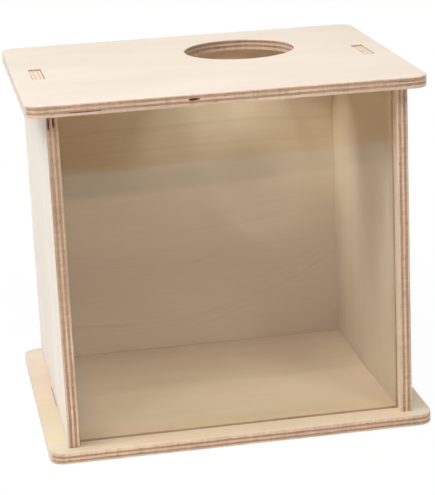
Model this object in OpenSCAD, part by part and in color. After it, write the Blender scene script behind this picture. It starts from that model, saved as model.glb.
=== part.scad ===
// A small plywood box with a clear front pane: a base and a top with rounded corners,
// two side panels whose tenons pass through slots in both plates, a back panel and a
// pane that stand in grooves. The front faces -Y and the box stands on Z = 0.

/* [Plates] */
// Width of the base and the top, left to right
plate_w = 202; // [180:1:260]
// Depth of the base and the top, front to back
plate_d = 166; // [150:1:220]
// Thickness of every plywood sheet
ply_t = 6; // [5:0.5:9]
// Radius of the plates' corners
corner_r = 8; // [3:0.5:16]

/* [Side panels] */
// Clear height between the base and the top
wall_h = 174; // [120:1:240]
// Reach of the plates past the side panels, left and right
side_overhang = 10; // [4:0.5:20]
// Reach of the plates past the side panels, front and back
end_overhang = 6.5; // [4:0.5:16]

/* [Tenons] */
// Length of each tenon and slot, front to back, before clearance
tenon_l = 28.5; // [16:0.5:50]
// Gap between a tenon and its slot, on each side
slot_clear = 0.3; // [0.1:0.05:0.8]
// How far a tenon's end stays below the plate's face
tenon_drop = 0.8; // [0.1:0.1:1.5]

/* [Front pane] */
// Thickness of the clear pane
pane_t = 3; // [2:0.5:4]
// Distance from the side panels' front edges to the pane
pane_recess = 7.5; // [5:0.5:20]
// Depth of the pane's groove in each panel and plate
pane_groove = 2.5; // [1.5:0.25:3]
// Gap between the pane and its groove, on each side
pane_clear = 0.5; // [0.1:0.05:0.6]

/* [Back panel] */
// Distance from the side panels' rear edges to the back panel
back_recess = 7.5; // [5:0.5:20]
// Depth of the back panel's groove in each side panel
back_groove = 2; // [1:0.25:3]
// Gap between the back panel and its groove, on each side
back_clear = 0.1; // [0.05:0.05:0.4]

/* [Entrance] */
// Diameter of the round hole in the top
hole_d = 60; // [40:1:80]
// Distance of the hole's centre to the right of the plate's centre
hole_x = 25.5; // [0:0.5:30]
// Distance of the hole's centre behind the plate's centre
hole_y = 28.5; // [0:0.5:30]

/* [Hidden] */
$fn = 96;

sheet_colour = [0.93, 0.87, 0.79];
wall_colour = [0.91, 0.85, 0.77];
back_colour = [0.86, 0.79, 0.69];
pane_colour = [0.85, 0.92, 0.95, 0.35];

// Length by which each cutting solid runs past the face that it opens
cut_over = 1;
// Places of the side panels' faces, from the middle plane
side_out = plate_w / 2 - side_overhang;
side_in = side_out - ply_t;
side_d = plate_d - 2 * end_overhang;
side_front = -side_d / 2;
side_back = side_d / 2;
// Heights of the two plates
base_top = ply_t;
top_under = base_top + wall_h;
box_h = top_under + ply_t;
// Places of the pane and the back panel, front face and rear face
pane_front = side_front + pane_recess;
pane_rear = pane_front + pane_t;
back_rear = side_back - back_recess;
back_front = back_rear - ply_t;
// Half widths of the pane and the back panel, which stop one clearance short of the grooves' floors
pane_half = side_in + pane_groove - pane_clear;
back_half = side_in + back_groove - back_clear;
// The pane stands on the floor of the base's groove and stops short of the top's
pane_foot = base_top - pane_groove;
pane_head = top_under + pane_groove - pane_clear;

// A sheet with rounded corners, lying on Z = 0 and centred on the Z axis
module plate_blank() {
    linear_extrude(ply_t) {
        square([plate_w - 2 * corner_r, plate_d], center = true);
        square([plate_w, plate_d - 2 * corner_r], center = true);
        for (x = [-1, 1], y = [-1, 1])
            translate([x * (plate_w / 2 - corner_r), y * (plate_d / 2 - corner_r)]) circle(corner_r);
    }
}

// The two slots that take the side panels' tenons, cut right through a plate
module tenon_slots() {
    slot_w = ply_t + 2 * slot_clear;
    slot_l = tenon_l + 2 * slot_clear;
    for (x = [-1, 1])
        translate([x * (side_in + side_out) / 2, 0, ply_t / 2])
            cube([slot_w, slot_l, ply_t + 2 * cut_over], center = true);
}

// The groove for the pane's lower or upper edge, from FLOOR_Z up to MOUTH_Z
module plate_groove(floor_z, mouth_z) {
    translate([-pane_half - pane_clear, pane_front - pane_clear, floor_z])
        cube([2 * (pane_half + pane_clear), pane_t + 2 * pane_clear, mouth_z - floor_z]);
}

module base_panel() {
    color(sheet_colour) difference() {
        plate_blank();
        tenon_slots();
        plate_groove(pane_foot, base_top + cut_over);
    }
}

module top_panel() {
    color(sheet_colour) translate([0, 0, top_under]) difference() {
        plate_blank();
        tenon_slots();
        plate_groove(-cut_over, pane_groove);
        translate([hole_x, hole_y, -cut_over]) cylinder(d = hole_d, h = ply_t + 2 * cut_over);
    }
}

// Outline of a side panel seen from the side: a wall with one tenon below and one above
module side_outline() {
    translate([side_front, base_top]) square([side_d, wall_h]);
    translate([-tenon_l / 2, tenon_drop]) square([tenon_l, box_h - 2 * tenon_drop]);
}

// A vertical groove in the right side panel's inner face, between two places along Y
module wall_groove(from_y, to_y, depth) {
    translate([side_in - cut_over, from_y, base_top - cut_over])
        cube([depth + cut_over, to_y - from_y, wall_h + 2 * cut_over]);
}

// The right side panel; the left one is its mirror image
module side_panel() {
    difference() {
        translate([side_in, 0, 0]) rotate([90, 0, 90]) linear_extrude(ply_t) side_outline();
        wall_groove(pane_front - pane_clear, pane_rear + pane_clear, pane_groove);
        wall_groove(back_front - back_clear, back_rear + back_clear, back_groove);
    }
}

module left_side_panel() {
    color(wall_colour) mirror([1, 0, 0]) side_panel();
}

module right_side_panel() {
    color(wall_colour) side_panel();
}

// The back panel fills the height between the plates, with its sides in the grooves
module back_panel() {
    color(back_colour) translate([-back_half, back_front, base_top])
        cube([2 * back_half, ply_t, wall_h]);
}

// The pane sits in a groove along each of its four edges
module front_pane() {
    color(pane_colour) translate([-pane_half, pane_front, pane_foot])
        cube([2 * pane_half, pane_t, pane_head - pane_foot]);
}

base_panel();
top_panel();
left_side_panel();
right_side_panel();
back_panel();
front_pane();
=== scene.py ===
"""Dresses the packed sand bath box: plywood panels with plies and grain, a clear pane, a plain studio."""
import math

import bmesh
import bpy
from mathutils import Matrix, Vector, noise


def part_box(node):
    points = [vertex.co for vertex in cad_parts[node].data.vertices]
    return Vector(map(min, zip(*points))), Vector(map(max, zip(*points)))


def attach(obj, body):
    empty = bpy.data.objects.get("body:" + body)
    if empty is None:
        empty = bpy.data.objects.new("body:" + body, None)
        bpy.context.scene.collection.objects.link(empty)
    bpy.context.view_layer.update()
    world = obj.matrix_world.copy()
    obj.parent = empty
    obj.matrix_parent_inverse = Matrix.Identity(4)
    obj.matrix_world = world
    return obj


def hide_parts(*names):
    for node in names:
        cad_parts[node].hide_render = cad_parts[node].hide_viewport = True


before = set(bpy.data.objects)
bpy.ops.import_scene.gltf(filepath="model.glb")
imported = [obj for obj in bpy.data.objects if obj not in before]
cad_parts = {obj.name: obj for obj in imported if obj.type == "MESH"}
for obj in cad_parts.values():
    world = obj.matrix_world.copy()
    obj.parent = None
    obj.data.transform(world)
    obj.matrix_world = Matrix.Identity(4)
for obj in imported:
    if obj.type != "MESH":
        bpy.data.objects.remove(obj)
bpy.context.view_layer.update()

MM = 0.001

# The photograph's frame, and the camera fitted to the box's edges in it
FRAME_W, FRAME_H = 435, 495
LENS_PX = 1856.1
SENSOR_MM = 36.0
CAMERA_TARGET = Vector((3.8, 0.0, 82.6)) * MM
CAMERA_DISTANCE = 1015.6 * MM
CAMERA_AZIMUTH = math.radians(-9.58)
CAMERA_ELEVATION = math.radians(16.40)
CAMERA_ROLL = math.radians(-2.60)

# The round entrance in the top, and the corners of both plates
ENTRANCE_CENTRE = Vector((25.5, 28.5)) * MM
ENTRANCE_RADIUS = 30 * MM
CORNER_RADIUS = 8 * MM

# Easing of the sawn edges: the outlines are sanded, slots and grooves stay crisp
OUTLINE_EASE = 0.35 * MM
INNER_EASE = 0.12 * MM
EASE_STEPS = 2
WELD_DISTANCE = INNER_EASE / 50
SHARP_ANGLE = math.radians(30)
CREASE_ANGLE = math.radians(40)
FLAT_ANGLE = math.radians(0.5)

# How far from a sheet's face and from its outline the sawn surfaces begin
FACE_DEPTH = 0.5 * MM
SAWN_DEPTH = 0.3 * MM
# The surfaces of a sheet, in the order of its material slots
SANDED, SAWN, BORED = range(3)

# Gaps in the core plies that show on edges: centre, length, height and depth, in mm
CORE_VOIDS = {
    "top_panel": [((-18.5, -83.0, 183.5), 6.2, 1.25, 4.0),
                  ((88.5, -83.0, 184.0), 13.0, 0.40, 2.5),
                  ((-72.5, -83.0, 181.7), 19.0, 0.55, 1.6)],
    "left_side_panel": [((-89.75, -76.5, 175.8), 1.15, 6.8, 1.8),
                        ((-87.3, -76.5, 176.2), 1.25, 5.4, 1.8)],
}
# How ragged a gap is, as a share of its size, how fine its ragged outline is, and what sets gaps apart
VOID_ROUGHNESS = 0.22
VOID_FINENESS = 2.3
VOID_OFFSET = 3.7

# Plies through one sheet, and the glue lines between them as shares of its thickness, from the lower face up
PLIES = 5
EVEN_PLIES = (0.2, 0.4, 0.6, 0.8)
TOP_PLIES = (0.29, 0.47, 0.675, 0.87)
BASE_PLIES = (0.18, 0.33, 0.54, 0.70)
# How softly one ply turns into the next, and how far their border wanders and is torn, as shares
PLY_BLUR = 0.018
PLY_WANDER = 0.12
PLY_TORN = 0.045
# How squarely a surface faces through the sheet to be veneer, and along the grain to be end grain
FACE_NONE, FACE_FULL = 0.62, 0.82
ENDS_NONE, ENDS_FULL = 0.78, 0.985


def srgb(r, g, b):
    """A colour written as 0 to 255 display values, as linear values."""
    def linear(c):
        c /= 255
        return c / 12.92 if c <= 0.04045 else ((c + 0.055) / 1.055) ** 2.4
    return (linear(r), linear(g), linear(b), 1.0)


# Light and dark tone of each kind of veneer
OUTER_VENEER = (srgb(226, 213, 197), srgb(222, 207, 190))
WALL_VENEER = (srgb(240, 229, 215), srgb(235, 222, 207))
INNER_VENEER = (srgb(245, 225, 193), srgb(238, 217, 184))
# The left wall's inner face takes a darker, warmer copy of the inner veneer: painted shade
SHADED_VENEER = (srgb(233, 204, 158), srgb(226, 195, 148))
BASE_VENEER = (srgb(238, 214, 180), srgb(230, 206, 169))
PIN_KNOT = srgb(216, 186, 148)

# Bare plies: long grain is pale and end grain is brown
LONG_GRAIN = srgb(231, 201, 174)
END_GRAIN = srgb(190, 152, 124)
GLUE = srgb(136, 98, 72)
GAP = srgb(92, 62, 42)
# The sanded ends of the grain, outer plies and cores, on the plates and on the tenons
PLATE_ENDS = (srgb(226, 213, 199), srgb(230, 218, 205))
TENON_ENDS = (srgb(230, 213, 194), srgb(216, 190, 164))
# The same four colours on the wall of the bored entrance
BORED_SIDES = (srgb(206, 180, 155), srgb(168, 134, 108))
BORED_ENDS = (srgb(214, 192, 170), srgb(186, 156, 133))
# Slots, grooves and voids are rough and darker than the sanded wood, partly by their own colour and partly by
# painted shade in the recess; it starts some way below the face, in mm
SAWN_AND_SHADE_TINT = (0.80, 0.66, 0.54, 1.0)
SAWN_SHADE_FROM, SAWN_SHADE_FULL = 0.5, 1.6
# A drift of tone within one ply
WARM_TINT = (1.02, 0.985, 0.94, 1.0)

# Painted light and shade: slow changes of tone for shade under the top, in corners and on the base's ends,
# and for brighter light on the strips in front of the pane: along each axis from where it starts to where it
# is full, in mm, and the tint there
BASE_PAINTED_SHADING = [({"Y": (-69.0, -70.5)}, (0.995, 1.035, 1.095, 1.0)),
              ({"X": (88.0, 91.0)}, (0.90, 1.00, 1.06, 1.0)),
              ({"X": (-42.0, -62.0), "Y": (-69.0, -70.5)}, (0.935, 0.94, 0.94, 1.0)),
              ({"X": (-62.0, -86.0)}, (0.81, 0.81, 0.80, 1.0)),
              ({"X": (-62.0, -86.0), "Y": (-70.0, 80.0)}, (1.07, 1.15, 1.47, 1.0)),
              ({"Y": (0.0, 60.0)}, (0.985, 0.965, 0.925, 1.0)),
              ({"X": (-84.0, -88.0), "Y": (50.0, 78.0)}, (1.06, 1.10, 1.08, 1.0)),
              ({"X": (-84.0, -88.0), "Y": (5.0, -45.0)}, (0.95, 1.02, 1.075, 1.0))]
BASE_EDGE_PAINTED_SHADING = [({"X": (-88.0, -60.0)}, (1.09, 1.10, 1.10, 1.0)),
                   ({"X": (20.0, 70.0)}, (0.93, 0.92, 0.93, 1.0)),
                   ({"X": (-90.0, -96.0)}, (0.80, 0.80, 0.78, 1.0))]
TOP_PAINTED_SHADING = [({"X": (20.0, -80.0)}, (0.965, 0.97, 0.97, 1.0))]
LEFT_PAINTED_SHADING = [({"Z": (140.0, 178.0)}, (0.92, 0.92, 0.91, 1.0))]
LEFT_EDGE_PAINTED_SHADING = [({"Z": (55.0, 115.0)}, (0.82, 0.82, 0.78, 1.0))]
RIGHT_PAINTED_SHADING = [({"Y": (-69.0, -70.5)}, (1.10, 1.12, 1.20, 1.0)),
               ({"Y": (-69.0, -70.5), "Z": (40.0, 15.0)}, (1.10, 1.12, 1.16, 1.0)),
               ({"Y": (-69.0, -70.5), "Z": (150.0, 172.0)}, (0.90, 0.88, 0.90, 1.0)),
               ({"Y": (10.0, -60.0), "Z": (135.0, 152.0)}, (0.86, 0.79, 0.72, 1.0))]
BACK_PAINTED_SHADING = [({"Z": (169.0, 176.0)}, (0.86, 0.78, 0.76, 1.0)),
              ({"X": (-20.0, -60.0), "Z": (105.0, 125.0)}, (0.93, 0.885, 0.86, 1.0)),
              ({"X": (15.0, 62.0), "Z": (45.0, 12.0)}, (0.88, 0.83, 0.80, 1.0)),
              ({"X": (-68.0, -84.0), "Z": (60.0, 100.0)}, (0.88, 0.88, 0.88, 1.0))]

# The back panel's pin knot, and the strong rings of its veneer: height at the left, width and strength
BACK_KNOT = (2.2, 57.0)
BACK_RINGS = ((22.0, 1.6, 1.9), (127.0, 1.3, 1.0), (139.0, 1.6, 1.3), (151.0, 1.3, 1.1), (160.0, 1.6, 1.3))
# The rings curve upwards to the right of a place, by a share of the distance squared, and less higher up
BACK_RISE = 0.0030
RISE_START = -20.0
RISE_NONE, RISE_FULL = 115.0, 45.0
# How far the lines sway to both sides together, in mm
LINE_SWAY = 12.0
# The knot is longer along the grain; its pull on the lines, in mm, fades by a rate per mm
KNOT_SQUASH = 0.75
KNOT_PULL = 5.0
KNOT_FADE = -0.16
KNOT_CORE, KNOT_EDGE = 0.9, 1.8

# Patterns are offset from sheet to sheet, from ply to ply and, on a face, a little by the depth
SHEET_OFFSET = 3.1
PLY_OFFSET = 17.3
DEPTH_OFFSET = 0.004
# Patterns on the faces: cycles per mm along the grain and across it, and a factor on the sheet's offset
CLOUDS = (0.010, 0.022, 1.0)
RIBBON = (0.006, 0.075, 2.0)
STREAKS = (0.020, 0.75, 3.0)
FIBRES = (0.13, 4.6, 4.0)
PORES = (0.34, 3.9, 5.0)
FLECKS = (0.16, 0.55, 6.0)
SWAY = (0.013, 0.012, 1.0)
WEAR = (0.020, 1.0, 1.0)
# The growth lines: cycles per mm across them and along them
FINE_LINES = (0.42, 0.006, 1.0)
BROAD_LINES = (0.085, 0.004, 1.0)
# Patterns on the edges: cycles per mm along both wide axes, and a factor on the offset or the depth
PLY_WAVE = (0.030, 0.030, 7.0)
PLY_TEAR = (0.9, 0.9, 8.0)
PLY_TONE = (0.030, 0.030, 1.0)
PLY_HUE = (0.045, 0.045, 2.0)
PLY_CHIPS = (0.26, 0.26, 3.0)
LONG_FIBRES = (0.11, 0.11, 7.0)
END_PORES = (2.4, 2.4, 1.3)
VESSELS = (5.5, 5.5, 5.0)
# Heights of the patterns on the faces and on the edges, in mm; the pores, lines, cores and gaps lie lower
FIBRE_HEIGHT, STREAK_HEIGHT, PORE_HEIGHT, LINE_HEIGHT = 0.030, 0.030, -0.045, -0.010
CORE_HEIGHT, END_HEIGHT, LONG_HEIGHT, GAP_HEIGHT = -0.06, 0.10, 0.05, -0.05
FACE_BUMP, ROUGH_BUMP, PANE_BUMP = 0.6, 0.8, 0.15
# Roughness of the veneers from its least to its most, of the three bare finishes, and the refraction of wood
VENEER_ROUGHNESS = (0.50, 0.66)
EDGE_ROUGHNESS = 0.80
SAWN_ROUGHNESS = 0.85
BORED_ROUGHNESS = 0.70
WOOD_IOR = 1.45

# The clear pane: its colour, the loss of light through it, its roughness and its refraction
PANE_COLOUR = (0.985, 0.992, 0.988, 1.0)
PANE_LOSS = (0.955, 0.965, 0.960, 1.0)
PANE_ROUGHNESS = (0.004, 0.016)
PANE_IOR = 1.49
# Patterns in the pane, along X and Z, with a factor on their slice of the noise
WIPES = (0.020, 0.060, 1.0)
PANE_WAVES = (0.012, 0.012, 1.0)

# The white table: half its width, its drop below the box, and where the box's shadow on it fades out
FLOOR_REACH = 6.0
FLOOR_DROP = 0.1 * MM
SHADOW_FULL, SHADOW_NONE = 0.16, 0.60
# A painted reflection: a glowing card that only the pane mirrors, white like the table's end, then a
# blue-grey strip, then dark like a room
REFLECTED_WHITE = (1.0, 1.0, 1.0, 1.0)
STRIP_BLUE = (0.28, 0.56, 0.70, 1.0)
REFLECTED_DARK = (0.03, 0.028, 0.025, 1.0)
# Lines across the card on the table, going away from the box: place at MIRROR_X in metres, slope, and the
# tone there
MIRROR_X = -0.04
MIRROR_LINES = ((-0.560, -0.149, REFLECTED_WHITE), (-0.578, -0.149, STRIP_BLUE), (-0.652, -0.062, STRIP_BLUE),
                (-0.676, -0.022, REFLECTED_DARK), (-3.0, 0.0, REFLECTED_DARK))
MIRROR_HEIGHT = 1.0 * MM
# The lines slope between the inner pair of these places and run straight on to the outer pair
MIRROR_ACROSS = (-2.5, -0.5, 0.5, 2.5)
# Brightness of the white surroundings where they only light the box
WORLD_LIGHT = 0.115

# Softboxes: azimuth (0 in front, 90 on the left), elevation, width and height in metres, watts
LAMPS = {
    "side": (90, 65, (0.50, 0.50), 6.7),
    "side_rear": (120, 65, (0.50, 0.50), 1.6),
    "left": (86, 48, (0.30, 0.30), 3.6),
    "left_front": (75, 50, (0.60, 0.60), 4.2),
    "corner": (45, 50, (0.30, 0.30), 3.8),
    "front": (0, 48, (0.30, 0.30), 3.4),
    "right_front": (-30, 50, (0.30, 0.30), 4.0),
    "strip": (15, 63, (0.17, 0.04), 2.4),
    "right_rear": (-112, 4, (0.60, 0.20), 5.0),
}
LAMP_DISTANCE = 1.5
LAMP_TARGET = Vector((0.0, 0.0, 0.09))


class Nodes:
    """Short calls that add shader nodes to one node tree."""

    def __init__(self, tree):
        self.tree = tree
        tree.nodes.clear()

    def add(self, kind, inputs=None, **settings):
        node = self.tree.nodes.new(kind)
        for key, value in settings.items():
            setattr(node, key, value)
        for key, value in (inputs or {}).items():
            self.feed(node.inputs[key], value)
        return node

    def feed(self, socket, value):
        if isinstance(value, bpy.types.NodeSocket):
            self.tree.links.new(value, socket)
        else:
            socket.default_value = value

    def math(self, operation, *values):
        node = self.add("ShaderNodeMath", operation=operation)
        for socket, value in zip(node.inputs, values):
            self.feed(socket, value)
        return node.outputs[0]

    def product(self, first, *others):
        for value in others:
            first = self.math("MULTIPLY", first, value)
        return first

    def swing(self, value, width):
        """A value from 0 to 1 as a number from minus half the width to plus half."""
        return self.math("MULTIPLY_ADD", value, width, -width / 2)

    def less(self, value, share):
        """1 less a share of the value."""
        return self.math("MULTIPLY_ADD", value, -share, 1.0)

    def scaled(self, axes, scales):
        """A vector of the given coordinates, each times its own scale."""
        parts = [self.math("MULTIPLY", a, s) for a, s in zip(axes, scales)]
        return self.add("ShaderNodeCombineXYZ", dict(zip("XYZ", parts))).outputs[0]

    def pattern(self, axes, scales, detail=2.0, rough=0.5, distortion=0.0):
        """Noise over the given coordinates, with its own scale along each."""
        node = self.add("ShaderNodeTexNoise", {
            "Vector": self.scaled(axes, scales), "Scale": 1.0, "Detail": detail, "Roughness": rough,
            "Distortion": distortion})
        return node.outputs["Fac"]

    def span(self, value, low, high, to_low=0.0, to_high=1.0, smooth=False):
        node = self.add("ShaderNodeMapRange", {
            "Value": value, "From Min": low, "From Max": high, "To Min": to_low, "To Max": to_high})
        node.interpolation_type = "SMOOTHSTEP" if smooth else "LINEAR"
        return node.outputs["Result"]

    def blend(self, factor, a, b):
        node = self.add("ShaderNodeMix", {"Factor": factor}, data_type="RGBA")
        self.feed(node.inputs[6], a)
        self.feed(node.inputs[7], b)
        return node.outputs[2]

    def blend_number(self, factor, a, b):
        return self.add("ShaderNodeMix", {"Factor": factor, "A": a, "B": b}).outputs[0]

    def tint(self, colour, by, share=1.0):
        node = self.add("ShaderNodeMix", {"Factor": share}, data_type="RGBA", blend_type="MULTIPLY")
        self.feed(node.inputs[6], colour)
        self.feed(node.inputs[7], by)
        return node.outputs[2]

    def shade(self, colour, amount):
        grey = self.add("ShaderNodeCombineXYZ", {"X": amount, "Y": amount, "Z": amount})
        return self.tint(colour, grey.outputs[0])

    def ramp(self, value, stops):
        node = self.add("ShaderNodeValToRGB", {"Fac": value})
        band = node.color_ramp
        while len(band.elements) < len(stops):
            band.elements.new(1.0)
        for element, (place, colour) in zip(band.elements, stops):
            element.position, element.color = place, colour
        return node.outputs["Color"]

    def bump(self, height, strength):
        """A surface normal from a height in mm."""
        node = self.add("ShaderNodeBump", {"Height": height, "Distance": MM, "Strength": strength})
        return node.outputs["Normal"]

    def surface(self, shader):
        self.add("ShaderNodeOutputMaterial", {"Surface": shader.outputs[0]})


def new_material(name):
    material = bpy.data.materials.new(name)
    material.use_nodes = True
    return material, Nodes(material.node_tree)


class Sheet:
    """One plywood sheet: its axes, its faces' places in mm, its two veneers, its painted light and shade, and
    its own markings.
    """

    def __init__(self, node, thin, grain, front, back, figure, ends, plies=EVEN_PLIES, tints=(),
                 edge_tints=(), rings=(), rise=0.0, knot=None):
        low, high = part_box(node)
        index = "XYZ".index(thin)
        self.node, self.thin, self.grain = node, thin, grain
        self.across = ({"X", "Y", "Z"} - {thin, grain}).pop()
        self.low, self.high = low[index] / MM, high[index] / MM
        self.front, self.back, self.figure, self.ends = front, back, figure, ends
        self.plies, self.tints, self.edge_tints = plies, tints, edge_tints
        self.rings, self.rise, self.knot = rings, rise, knot


def sheet_coordinates(n, sheet):
    """Places in mm along the grain, across it and through the sheet, and the normal on the same axes."""
    place = n.add("ShaderNodeTexCoord").outputs["Object"]
    metres = n.add("ShaderNodeSeparateXYZ", {"Vector": place}).outputs
    normal = n.add("ShaderNodeNewGeometry").outputs["Normal"]
    parts = n.add("ShaderNodeSeparateXYZ", {"Vector": normal}).outputs
    axes = (sheet.grain, sheet.across, sheet.thin)
    return [n.math("MULTIPLY", metres[a], 1 / MM) for a in axes], [parts[a] for a in axes]


def with_painted_shading(n, sheet, tints, along, across, colour):
    """The colour after painted light and shade, each change of tone between two places along one or two axes.
    """
    for spans, by in tints:
        share = 1.0
        for axis, (none, full) in spans.items():
            place = along if axis == sheet.grain else across
            share = n.math("MULTIPLY", n.span(place, none, full, smooth=True), share)
        colour = n.tint(colour, by, share)
    return colour


def ring_rise(n, sheet, along, across):
    """How far the rings of a veneer have risen at a place, in mm."""
    past = n.math("MAXIMUM", n.math("SUBTRACT", along, RISE_START), 0.0)
    rise = n.product(past, past, sheet.rise)
    return n.math("MULTIPLY", rise, n.span(across, RISE_NONE, RISE_FULL, smooth=True))


def knot_distance(n, sheet, along, across):
    side = n.math("MULTIPLY", n.math("SUBTRACT", along, sheet.knot[0]), KNOT_SQUASH)
    up = n.math("SUBTRACT", across, sheet.knot[1])
    return n.math("SQRT", n.math("ADD", n.math("MULTIPLY", side, side), n.math("MULTIPLY", up, up)))


def growth_lines(n, sheet, along, across, shift):
    """Faint lines of a rotary-cut veneer with its few strong rings, and its pin knot."""
    line = n.math("SUBTRACT", across, ring_rise(n, sheet, along, across))
    sway = n.pattern((along, across, shift), SWAY, detail=1.5)
    line = n.math("ADD", line, n.swing(sway, LINE_SWAY))
    pin = 0.0
    if sheet.knot:
        distance = knot_distance(n, sheet, along, across)
        pull = n.math("EXPONENT", n.math("MULTIPLY", distance, KNOT_FADE))
        line = n.math("ADD", line, n.math("MULTIPLY", pull, KNOT_PULL))
        pin = n.span(distance, KNOT_CORE, KNOT_EDGE, 1.0, 0.0, smooth=True)
    fine = n.pattern((line, along, shift), FINE_LINES, detail=3.0, rough=0.62)
    broad = n.pattern((line, along, shift), BROAD_LINES, detail=1.0)
    dark = n.product(n.span(fine, 0.54, 0.70, smooth=True), n.span(broad, 0.35, 0.62, 0.25, 1.0))
    for level, width, strength in sheet.rings:
        off = n.math("ABSOLUTE", n.math("SUBTRACT", line, level))
        worn = n.pattern((along, level, shift), WEAR, detail=2.0)
        ring = n.product(n.span(off, 0.0, width, strength, 0.0, smooth=True), n.span(worn, 0.34, 0.52))
        dark = n.math("MAXIMUM", dark, ring)
    return dark, pin


def veneer(n, sheet, along, across, facing, shift):
    """Colour, height in mm and roughness of the sanded faces."""
    place = (along, across, shift)
    clouds = n.pattern(place, CLOUDS, detail=2.0)
    ribbon = n.pattern(place, RIBBON, detail=1.0)
    streaks = n.pattern(place, STREAKS, detail=3.0, rough=0.6)
    fibres = n.pattern(place, FIBRES, detail=2.0, rough=0.6)
    pores = n.span(n.pattern(place, PORES, detail=1.0), 0.69, 0.77)
    flecks = n.span(n.pattern(place, FLECKS, detail=2.0, rough=0.7), 0.735, 0.80)
    lines, pin = growth_lines(n, sheet, along, across, shift)

    tone = n.span(clouds, 0.32, 0.68, smooth=True)
    is_front = n.math("GREATER_THAN", facing, 0.0)
    light = n.blend(is_front, sheet.back[0], sheet.front[0])
    dark = n.blend(is_front, sheet.back[1], sheet.front[1])
    shade = n.product(n.span(ribbon, 0.30, 0.70, 0.989, 1.009), n.span(streaks, 0.25, 0.75, 0.968, 1.024),
                      n.span(fibres, 0.20, 0.80, 0.978, 1.018), n.less(pores, 0.07), n.less(flecks, 0.09),
                      n.less(lines, sheet.figure))
    colour = n.shade(n.blend(tone, light, dark), shade)
    if sheet.knot:
        colour = n.blend(n.math("MULTIPLY", pin, 0.30), colour, PIN_KNOT)
    # Painted light and shade over the faces
    colour = with_painted_shading(n, sheet, sheet.tints, along, across, colour)

    height = n.math("MULTIPLY_ADD", fibres, FIBRE_HEIGHT, n.math("MULTIPLY", pores, PORE_HEIGHT))
    height = n.math("ADD", height, n.math("MULTIPLY", streaks, STREAK_HEIGHT))
    height = n.math("ADD", height, n.math("MULTIPLY", lines, LINE_HEIGHT))
    return colour, height, n.span(fibres, 0.2, 0.8, *VENEER_ROUGHNESS)


def ply_depth(n, sheet, through, wave, torn):
    """Depth through the sheet as a share, with wavy, torn borders and every ply brought to a fifth."""
    depth = n.span(through, sheet.low, sheet.high)
    depth = n.math("ADD", depth, n.swing(wave, PLY_WANDER))
    depth = n.math("ADD", depth, n.swing(torn, PLY_TORN))
    borders = [(place, (i + 1) / PLIES) for i, place in enumerate(sheet.plies)]
    steps = [(0.0, 0.0)] + borders + [(1.0, 1.0)]
    return n.ramp(depth, [(place, (step, step, step, 1.0)) for place, step in steps])


def core_plies(n, depth):
    """1 in the second and the fourth ply, 0 in the others."""
    stops = []
    for ply in range(PLIES):
        level = (1, 1, 1, 1) if ply % 2 else (0, 0, 0, 1)
        start = ply / PLIES + (PLY_BLUR if ply else 0.0)
        stops += [(start, level), ((ply + 1) / PLIES - PLY_BLUR, level)]
    return n.ramp(depth, stops)


def bare_plies(n, sheet, place, end_share, shift, sides=(LONG_GRAIN, END_GRAIN), ends=None):
    """Colour and height in mm of the sawn edges, ply by ply."""
    along, across, through = place
    wave = n.pattern((along, across, shift), PLY_WAVE, detail=2.0)
    torn = n.pattern((along, across, shift), PLY_TEAR, detail=2.0)
    depth = ply_depth(n, sheet, through, wave, torn)
    core = core_plies(n, depth)
    number = n.math("FLOOR", n.math("MULTIPLY", depth, PLIES))

    # Each ply has its own slow changes of tone along the edge
    own = n.math("MULTIPLY_ADD", number, PLY_OFFSET, shift)
    tone = n.pattern((along, across, own), PLY_TONE, detail=3.0, rough=0.6)
    hue = n.pattern((along, across, own), PLY_HUE, detail=2.0)
    outer, inner = ends or sheet.ends
    # Painted light and shade on the long-grain plies of the edges
    flat = n.blend(core, with_painted_shading(n, sheet, sheet.edge_tints, along, across, sides[0]), sides[1])
    flat = n.shade(flat, n.span(tone, 0.28, 0.72, 0.76, 1.13))
    flat = n.tint(flat, WARM_TINT, n.span(hue, 0.35, 0.65))
    cut_ends = n.shade(n.blend(core, outer, inner), n.span(tone, 0.28, 0.72, 0.93, 1.05))
    colour = n.blend(end_share, flat, cut_ends)

    # Glue shows between the plies in places, and chips are missing from some of the borders
    rim = n.math("ABSOLUTE", n.math("SUBTRACT", n.math("FRACT", n.math("MULTIPLY", depth, PLIES)), 0.5))
    inside = n.product(n.span(depth, 0.05, 0.10), n.span(depth, 0.90, 0.95, 1.0, 0.0))
    seam = n.product(n.span(rim, 0.42, 0.5), n.span(tone, 0.35, 0.60))
    colour = n.blend(n.product(seam, inside, 0.45), colour, GLUE)
    chips = n.pattern((along, across, own), PLY_CHIPS, detail=2.0)
    gap = n.product(n.span(chips, 0.58, 0.66), n.span(rim, 0.26, 0.42))
    colour = n.blend(n.product(gap, inside, 0.70), colour, GAP)

    long_fibres = n.pattern(place, LONG_FIBRES, detail=3.0, rough=0.65)
    end_pores = n.pattern(place, END_PORES, detail=3.0, rough=0.72)
    vessels = n.span(n.pattern(place, VESSELS, detail=1.0), 0.66, 0.74)
    grain = n.blend_number(core, n.span(long_fibres, 0.25, 0.75, 0.90, 1.07),
                           n.span(end_pores, 0.25, 0.75, 0.78, 1.18))
    grain = n.blend_number(n.math("MULTIPLY", end_share, 0.6), grain, 1.0)
    grain = n.product(grain, n.less(vessels, 0.12), n.span(torn, 0.30, 0.70, 0.92, 1.08))
    colour = n.shade(colour, grain)

    height = n.math("MULTIPLY_ADD", core, CORE_HEIGHT, n.math("MULTIPLY", end_pores, END_HEIGHT))
    height = n.math("ADD", height, n.math("MULTIPLY", long_fibres, LONG_HEIGHT))
    height = n.math("ADD", height, n.math("MULTIPLY", n.math("ADD", vessels, gap), GAP_HEIGHT))
    return colour, height


def grain_end_share(n, n_along):
    """1 where the sheet's outer plies show the ends of their grain."""
    return n.span(n.math("ABSOLUTE", n_along), ENDS_NONE, ENDS_FULL, smooth=True)


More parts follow.
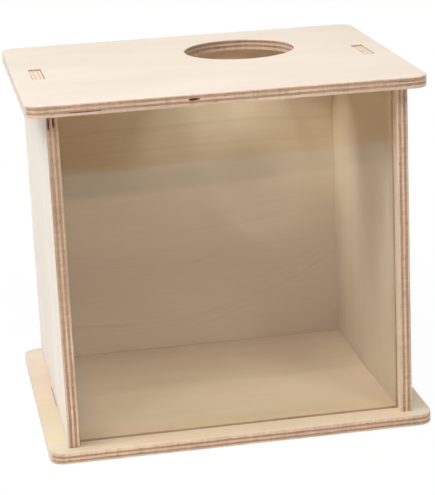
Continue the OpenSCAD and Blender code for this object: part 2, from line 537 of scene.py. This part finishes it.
def plywood(sheet, shift):
    """Five-ply birch sheet: a pale veneer on both faces and bare plies round every edge."""
    material, n = new_material(sheet.node + "_plywood")
    place, (n_along, _, n_through) = sheet_coordinates(n, sheet)
    along, across, through = place
    offset = n.math("ADD", n.math("MULTIPLY", through, DEPTH_OFFSET), shift)
    face = veneer(n, sheet, along, across, n_through, offset)
    edge = bare_plies(n, sheet, place, grain_end_share(n, n_along), shift)
    on_face = n.span(n.math("ABSOLUTE", n_through), FACE_NONE, FACE_FULL, smooth=True)
    n.surface(n.add("ShaderNodeBsdfPrincipled", {
        "Base Color": n.blend(on_face, edge[0], face[0]),
        "Roughness": n.blend_number(on_face, EDGE_ROUGHNESS, face[2]),
        "Normal": n.bump(n.blend_number(on_face, edge[1], face[1]), FACE_BUMP),
        "IOR": WOOD_IOR,
        "Sheen Weight": 0.15,
        "Sheen Roughness": 0.45,
        "Sheen Tint": (1.0, 1.0, 1.0, 1.0)}))
    return material


def matt_wood(n, colour, height, roughness):
    """Fills a material with a matt, bumpy wood from a colour and a height in mm."""
    n.surface(n.add("ShaderNodeBsdfPrincipled", {
        "Base Color": colour, "Roughness": roughness, "Normal": n.bump(height, ROUGH_BUMP), "IOR": WOOD_IOR}))


def sawn_wood(sheet, shift):
    """The rough wood inside slots, grooves and voids, darker deeper below the face: partly its own colour,
    partly painted shade.
    """
    material, n = new_material(sheet.node + "_sawn")
    place, (n_along, _, _) = sheet_coordinates(n, sheet)
    colour, height = bare_plies(n, sheet, place, grain_end_share(n, n_along), shift)
    through = place[2]
    depth = n.math("MINIMUM", n.math("SUBTRACT", through, sheet.low), n.math("SUBTRACT", sheet.high, through))
    # The tint is the sawn wood's own colour and painted shade, growing with depth below the face
    matt_wood(n, n.tint(colour, SAWN_AND_SHADE_TINT, n.span(depth, SAWN_SHADE_FROM, SAWN_SHADE_FULL)), height, SAWN_ROUGHNESS)
    return material


def bored_wood(sheet, shift):
    """The wall of the round entrance: plies darker and browner than the sanded edges."""
    material, n = new_material(sheet.node + "_bored")
    place, (n_along, _, _) = sheet_coordinates(n, sheet)
    end_share = grain_end_share(n, n_along)
    colour, height = bare_plies(n, sheet, place, end_share, shift, BORED_SIDES, BORED_ENDS)
    matt_wood(n, colour, height, BORED_ROUGHNESS)
    return material


def clear_acrylic():
    """Clear sheet with faint wipe marks; rays that only carry light to the inside pass it unbent."""
    material, n = new_material("clear_acrylic")
    place = n.add("ShaderNodeTexCoord").outputs["Object"]
    metres = n.add("ShaderNodeSeparateXYZ", {"Vector": place}).outputs
    x, z = [n.math("MULTIPLY", metres[a], 1 / MM) for a in "XZ"]
    wipes = n.pattern((x, z, 0.5), WIPES, detail=3.0, distortion=0.8)
    waves = n.pattern((x, z, 2.5), PANE_WAVES, detail=1.0)
    glass = n.add("ShaderNodeBsdfPrincipled", {
        "Base Color": PANE_COLOUR, "Roughness": n.span(wipes, 0.3, 0.7, *PANE_ROUGHNESS),
        "Normal": n.bump(waves, PANE_BUMP), "IOR": PANE_IOR, "Transmission Weight": 1.0})
    thin = n.add("ShaderNodeBsdfTransparent", {"Color": PANE_LOSS})
    path = n.add("ShaderNodeLightPath").outputs
    lighting = n.math("MAXIMUM", path["Is Shadow Ray"], path["Is Diffuse Ray"])
    n.surface(n.add("ShaderNodeMixShader", {"Fac": lighting, 1: glass.outputs[0], 2: thin.outputs[0]}))
    return material


def new_piece(name, mesh):
    piece = bpy.data.objects.new(name, mesh)
    bpy.context.scene.collection.objects.link(piece)
    return piece


def apply_modifiers(piece):
    """Bakes the piece's modifiers into its mesh."""
    graph = bpy.context.evaluated_depsgraph_get()
    mesh = bpy.data.meshes.new_from_object(piece.evaluated_get(graph))
    piece.modifiers.clear()
    piece.data = mesh


def entrance_gap(place):
    """How far a point lies from the wall of the round entrance, seen from above."""
    return abs((place.xy - ENTRANCE_CENTRE).length - ENTRANCE_RADIUS)


def plate_depth(high, place):
    """How far a point lies inside the rounded outline that both plates share."""
    dx = high[0] - CORNER_RADIUS - abs(place.x)
    dy = high[1] - CORNER_RADIUS - abs(place.y)
    if max(dx, dy) < 0:
        return CORNER_RADIUS - math.hypot(dx, dy)
    return CORNER_RADIUS + min(dx, dy)


def outline_depth(node, place):
    """How far a point lies inside its sheet's outline, seen square on; 0 on the outline and on a tenon."""
    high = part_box(node)[1]
    if node == "base_panel":
        depth = plate_depth(high, place)
    elif node == "top_panel":
        depth = min(plate_depth(high, place), entrance_gap(place))
    else:
        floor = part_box("base_panel")[1][2]
        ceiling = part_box("top_panel")[0][2]
        side = high[0] - abs(place.x) if node == "back_panel" else high[1] - abs(place.y)
        depth = min(side, place.z - floor, ceiling - place.z)
    return max(depth, 0.0)


def surface_kind(sheet, place):
    """Tells the sanded faces and edges from slots, grooves and voids, and from the entrance's wall."""
    index = "XYZ".index(sheet.thin)
    low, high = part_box(sheet.node)
    if not low[index] + FACE_DEPTH < place[index] < high[index] - FACE_DEPTH:
        return SANDED
    if sheet.node == "top_panel" and entrance_gap(place) < SAWN_DEPTH:
        return BORED
    return SAWN if outline_depth(sheet.node, place) > SAWN_DEPTH else SANDED


def core_void(place, length, height, depth, offset):
    """A cutter for one gap in a core ply: a flat, ragged lens that opens at the sheet's edge."""
    shape = bmesh.new()
    bmesh.ops.create_icosphere(shape, subdivisions=3, radius=1.0)
    for vert in shape.verts:
        ragged = noise.noise(vert.co * VOID_FINENESS + Vector((offset, 0.0, 0.0)))
        vert.co *= 1.0 + VOID_ROUGHNESS * ragged
    bmesh.ops.scale(shape, vec=Vector((length / 2, depth, height / 2)) * MM, verts=shape.verts)
    bmesh.ops.translate(shape, vec=Vector(place) * MM, verts=shape.verts)
    mesh = bpy.data.meshes.new("core_void")
    shape.to_mesh(mesh)
    shape.free()
    return new_piece("core_void", mesh)


def cut_voids(piece, voids):
    for number, (place, length, height, depth) in enumerate(voids, 1):
        cutter = core_void(place, length, height, depth, VOID_OFFSET * number)
        cut = piece.modifiers.new("void", "BOOLEAN")
        cut.object, cut.operation, cut.solver = cutter, "DIFFERENCE", "EXACT"
        apply_modifiers(piece)
        bpy.data.objects.remove(cutter)


def sharp_edges(shape):
    return [e for e in shape.edges if len(e.link_faces) == 2 and e.calc_face_angle() > SHARP_ANGLE]


def ease_edges(shape, edges, width, steps):
    bmesh.ops.bevel(shape, geom=edges, offset=width, offset_type="OFFSET", segments=steps, profile=0.5,
                    affect="EDGES", clamp_overlap=True)


def eased_mesh(sheet):
    """A copy of a packed panel's mesh with eased edges: its outline more, its slots and grooves less."""
    shape = bmesh.new()
    shape.from_mesh(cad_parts[sheet.node].data)
    bmesh.ops.remove_doubles(shape, verts=shape.verts, dist=WELD_DISTANCE)
    bmesh.ops.dissolve_limit(shape, angle_limit=FLAT_ANGLE, verts=shape.verts, edges=shape.edges)
    outline, inner = [], []
    for edge in sharp_edges(shape):
        middle = (edge.verts[0].co + edge.verts[1].co) / 2
        group = outline if outline_depth(sheet.node, middle) < SAWN_DEPTH else inner
        group.append(edge)
    ease_edges(shape, inner, INNER_EASE, 1)
    ease_edges(shape, [e for e in outline if e.is_valid], OUTLINE_EASE, EASE_STEPS)
    bmesh.ops.triangulate(shape, faces=shape.faces)
    mesh = bpy.data.meshes.new(sheet.node + "_sheet")
    shape.to_mesh(mesh)
    shape.free()
    return mesh


def dress_panel(sheet, shift):
    """Puts an eased plywood sheet, with its core voids, in a packed panel's place."""
    piece = new_piece(sheet.node + "_sheet", eased_mesh(sheet))
    cut_voids(piece, CORE_VOIDS.get(sheet.node, []))
    piece.data.shade_smooth()
    piece.data.set_sharp_from_angle(angle=CREASE_ANGLE)
    piece.modifiers.new("flat faces", "WEIGHTED_NORMAL").keep_sharp = True
    apply_modifiers(piece)
    piece.data.materials.clear()
    for dress in (plywood, sawn_wood, bored_wood):
        piece.data.materials.append(dress(sheet, shift))
    for polygon in piece.data.polygons:
        polygon.material_index = surface_kind(sheet, polygon.center)
    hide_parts(sheet.node)
    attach(piece, "root")


def make_panels():
    """The five plywood sheets; a sheet's front veneer faces up its thin axis."""
    sheets = [
        Sheet("base_panel", "Z", "X", BASE_VENEER, BASE_VENEER, 0.060, PLATE_ENDS, BASE_PLIES,
              BASE_PAINTED_SHADING, BASE_EDGE_PAINTED_SHADING),
        Sheet("top_panel", "Z", "X", OUTER_VENEER, INNER_VENEER, 0.022, PLATE_ENDS, TOP_PLIES, TOP_PAINTED_SHADING),
        Sheet("left_side_panel", "X", "Z", SHADED_VENEER, WALL_VENEER, 0.030, TENON_ENDS, EVEN_PLIES,
              LEFT_PAINTED_SHADING, LEFT_EDGE_PAINTED_SHADING),
        Sheet("right_side_panel", "X", "Z", WALL_VENEER, INNER_VENEER, 0.040, TENON_ENDS, EVEN_PLIES,
              RIGHT_PAINTED_SHADING),
        Sheet("back_panel", "Y", "X", WALL_VENEER, INNER_VENEER, 0.055, PLATE_ENDS, EVEN_PLIES,
              BACK_PAINTED_SHADING, rings=BACK_RINGS, rise=BACK_RISE, knot=BACK_KNOT),
    ]
    for number, sheet in enumerate(sheets, 1):
        dress_panel(sheet, SHEET_OFFSET * number)


def make_pane():
    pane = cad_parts["front_pane"]
    pane.data.materials.clear()
    pane.data.materials.append(clear_acrylic())


def seen_ray(n):
    """1 for rays that show the surroundings, straight or by way of the pane; 0 for those that light."""
    path = n.add("ShaderNodeLightPath").outputs
    seen = n.math("MAXIMUM", path["Is Camera Ray"], path["Is Glossy Ray"])
    return n.math("MAXIMUM", seen, path["Is Transmission Ray"])


def make_floor():
    """A wide white table; it shows white and keeps the box's soft shadow."""
    material, n = new_material("pale_floor")
    matte = n.add("ShaderNodeBsdfDiffuse", {"Color": (0.82, 0.82, 0.82, 1.0)})
    white = n.add("ShaderNodeEmission", {"Color": (1.0, 1.0, 1.0, 1.0), "Strength": 1.0})
    place = n.add("ShaderNodeTexCoord").outputs["Object"]
    distance = n.add("ShaderNodeVectorMath", {0: place}, operation="LENGTH").outputs["Value"]
    evenness = n.span(distance, SHADOW_FULL, SHADOW_NONE, 0.97, 1.0, smooth=True)
    share = n.math("MULTIPLY", seen_ray(n), evenness)
    n.surface(n.add("ShaderNodeMixShader", {"Fac": share, 1: matte.outputs[0], 2: white.outputs[0]}))
    corners = [(x * FLOOR_REACH, y * FLOOR_REACH, -FLOOR_DROP)
               for x, y in ((-1, -1), (1, -1), (1, 1), (-1, 1))]
    mesh = bpy.data.meshes.new("floor")
    mesh.from_pydata(corners, [], [(0, 1, 2, 3)])
    mesh.materials.append(material)
    new_piece("floor", mesh)


def mirror_mesh():
    """The strips of the glowing card for the painted reflection: white, blue-grey and dark, with a tone at
    each point.
    """
    inner_left, inner_right = MIRROR_ACROSS[1:3]
    verts, tones = [], []
    for place, slope, tone in MIRROR_LINES:
        for x in MIRROR_ACROSS:
            bent_x = max(inner_left, min(inner_right, x))
            verts.append((x, place + slope * (bent_x - MIRROR_X), MIRROR_HEIGHT))
            tones.append(tone)
    span = len(MIRROR_ACROSS)
    starts = [row * span + i for row in range(len(MIRROR_LINES) - 1) for i in range(span - 1)]
    mesh = bpy.data.meshes.new("reflection_card")
    mesh.from_pydata(verts, [], [(s, s + 1, s + span + 1, s + span) for s in starts])
    layer = mesh.color_attributes.new("tone", "FLOAT_COLOR", "POINT")
    for entry, tone in zip(layer.data, tones):
        entry.color = tone
    return mesh


def make_reflection_card():
    """A painted reflection: a glowing card that the camera sees only mirrored or through the pane, white like
    the table's end, then a blue-grey strip, then dark like a room.
    """
    material, n = new_material("reflection_card")
    tone = n.add("ShaderNodeVertexColor", layer_name="tone").outputs["Color"]
    n.surface(n.add("ShaderNodeEmission", {"Color": tone, "Strength": 1.0}))
    mesh = mirror_mesh()
    mesh.materials.append(material)
    edge = new_piece("reflection_card", mesh)
    # The card glows but lights nothing: camera, diffuse and shadow rays pass it
    edge.visible_camera = edge.visible_diffuse = edge.visible_shadow = False


def make_world():
    world = bpy.data.worlds.new("studio")
    world.use_nodes = True
    bpy.context.scene.world = world
    n = Nodes(world.node_tree)
    strength = n.span(seen_ray(n), 0.0, 1.0, WORLD_LIGHT, 1.0)
    background = n.add("ShaderNodeBackground", {"Color": (1.0, 1.0, 1.0, 1.0), "Strength": strength})
    n.add("ShaderNodeOutputWorld", {"Surface": background.outputs[0]})


def make_lamp(name, azimuth, elevation, size, watts):
    """A softbox aimed at the box."""
    turn, rise = math.radians(azimuth), math.radians(elevation)
    toward = Vector((-math.sin(turn) * math.cos(rise), -math.cos(turn) * math.cos(rise), math.sin(rise)))
    light = bpy.data.lights.new(name, "AREA")
    light.shape = "RECTANGLE"
    light.size, light.size_y = size
    light.energy = watts
    lamp = bpy.data.objects.new(name, light)
    lamp.location = LAMP_TARGET + LAMP_DISTANCE * toward
    lamp.rotation_euler = (-toward).to_track_quat("-Z", "Y").to_euler()
    bpy.context.scene.collection.objects.link(lamp)


def make_studio():
    bpy.context.scene.view_settings.view_transform = "Standard"
    make_floor()
    make_reflection_card()
    make_world()
    for name, settings in LAMPS.items():
        make_lamp(name, *settings)


def make_camera():
    """A camera at the photograph's place, turned to its angle and rolled a little."""
    flat = math.cos(CAMERA_ELEVATION)
    back = Vector((math.sin(CAMERA_AZIMUTH) * flat, -math.cos(CAMERA_AZIMUTH) * flat,
                   math.sin(CAMERA_ELEVATION)))
    right = Vector((0.0, 0.0, 1.0)).cross(back).normalized()
    up = back.cross(right)
    cos, sin = math.cos(CAMERA_ROLL), math.sin(CAMERA_ROLL)
    right, up = cos * right + sin * up, cos * up - sin * right
    data = bpy.data.cameras.new("camera")
    data.sensor_width = SENSOR_MM
    data.lens = LENS_PX * SENSOR_MM / max(FRAME_W, FRAME_H)
    camera = bpy.data.objects.new("camera", data)
    turn = Matrix((right, up, back)).transposed().to_4x4()
    camera.matrix_world = Matrix.Translation(CAMERA_TARGET + CAMERA_DISTANCE * back) @ turn
    bpy.context.scene.collection.objects.link(camera)
    bpy.context.scene.camera = camera


make_camera()
make_studio()
make_panels()
make_pane()
